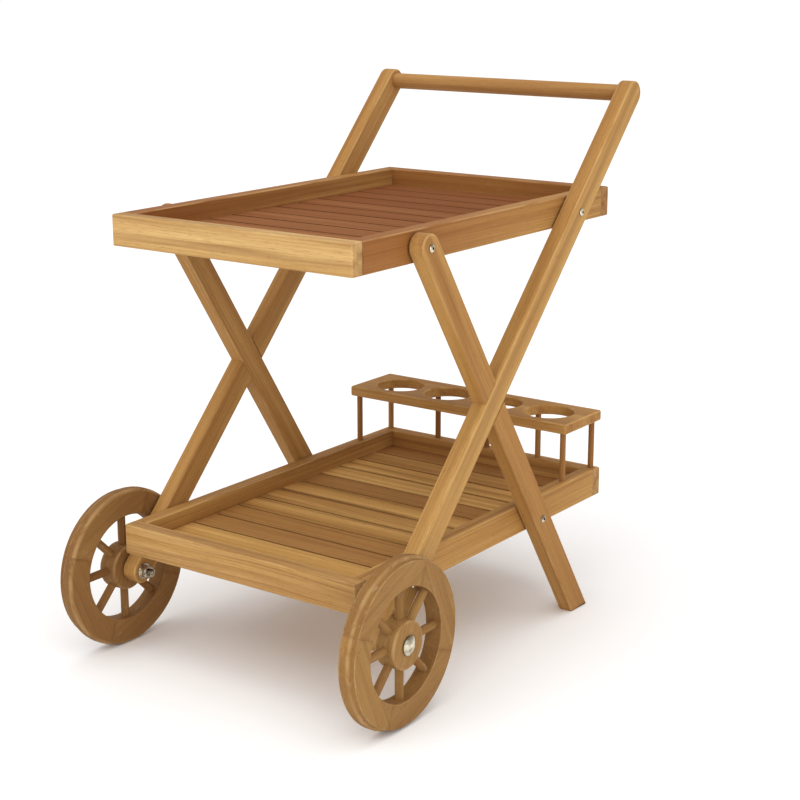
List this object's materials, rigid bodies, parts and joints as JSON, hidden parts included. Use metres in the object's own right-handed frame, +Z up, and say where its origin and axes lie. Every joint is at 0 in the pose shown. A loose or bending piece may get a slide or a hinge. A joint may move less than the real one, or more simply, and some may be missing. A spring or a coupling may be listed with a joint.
{
  "type": "serving trolley",
  "caption": "Teak serving trolley with crossed half-lapped legs, upper and lower slatted trays, a bottle rack on posts, a dowel push handle and spoked wooden wheels.",
  "frame": {"origin": "On the floor, under the middle of the whole trolley's length and width.", "axes": "+X runs from the wheels to the push handle, +Y across the trolley towards its right side for a person who stands at the handle and faces the wheels, +Z up."},
  "size_m": [0.8354, 0.5932, 0.8755],
  "materials": {
    "teak_frame": "satin, lightly oiled",
    "teak_slats_upper": "satin, lightly oiled",
    "teak_slats_lower": "satin, lightly oiled",
    "teak_wheels": "satin, lightly oiled",
    "steel_fittings": "zinc plated"
  },
  "bodies": {
    "frame": {"long_leg_left": "teak_frame", "long_leg_right": "teak_frame", "short_leg_left": "teak_frame", "short_leg_right": "teak_frame", "handle_bar": "teak_frame", "upper_front_rail": "teak_frame", "upper_back_rail": "teak_frame", "upper_left_rail": "teak_frame", "upper_right_rail": "teak_frame", "upper_left_ledger": "teak_frame", "upper_right_ledger": "teak_frame", "upper_slat_01": "teak_slats_upper", "upper_slat_02": "teak_slats_upper", "upper_slat_03": "teak_slats_upper", "upper_slat_04": "teak_slats_upper", "upper_slat_05": "teak_slats_upper", "upper_slat_06": "teak_slats_upper", "upper_slat_07": "teak_slats_upper", "upper_slat_08": "teak_slats_upper", "upper_slat_09": "teak_slats_upper", "upper_slat_10": "teak_slats_upper", "upper_slat_11": "teak_slats_upper", "upper_slat_12": "teak_slats_upper", "lower_front_rail": "teak_frame", "lower_back_rail": "teak_frame", "lower_left_rail": "teak_frame", "lower_right_rail": "teak_frame", "lower_left_ledger": "teak_frame", "lower_right_ledger": "teak_frame", "lower_slat_01": "teak_slats_lower", "lower_slat_02": "teak_slats_lower", "lower_slat_03": "teak_slats_lower", "lower_slat_04": "teak_slats_lower", "lower_slat_05": "teak_slats_lower", "lower_slat_06": "teak_slats_lower", "lower_slat_07": "teak_slats_lower", "lower_slat_08": "teak_slats_lower", "lower_slat_09": "teak_slats_lower", "lower_slat_10": "teak_slats_lower", "lower_slat_11": "teak_slats_lower", "lower_slat_12": "teak_slats_lower", "rack_plank": "teak_frame", "rack_posts": "teak_frame", "axle_bolts": "steel_fittings", "axle_washers": "steel_fittings", "axle_nuts": "steel_fittings", "leg_screws": "steel_fittings", "leg_spacers": "steel_fittings"},
    "wheel_left": {"wheel_left_hub": "teak_wheels", "wheel_left_spokes": "teak_wheels", "wheel_left_felloe_01": "teak_wheels", "wheel_left_felloe_02": "teak_wheels", "wheel_left_felloe_03": "teak_wheels", "wheel_left_felloe_04": "teak_wheels"},
    "wheel_right": {"wheel_right_hub": "teak_wheels", "wheel_right_spokes": "teak_wheels", "wheel_right_felloe_01": "teak_wheels", "wheel_right_felloe_02": "teak_wheels", "wheel_right_felloe_03": "teak_wheels", "wheel_right_felloe_04": "teak_wheels"}
  },
  "joints": [
    {"name": "wheel_left_spin", "type": "hinge", "parent": "frame", "child": "wheel_left", "pos_m": [-0.28975, -0.2733, 0.128], "axis": [0, 1, 0], "continuous": true},
    {"name": "wheel_right_spin", "type": "hinge", "parent": "frame", "child": "wheel_right", "pos_m": [-0.28975, 0.2733, 0.128], "axis": [0, 1, 0], "continuous": true}
  ]
}
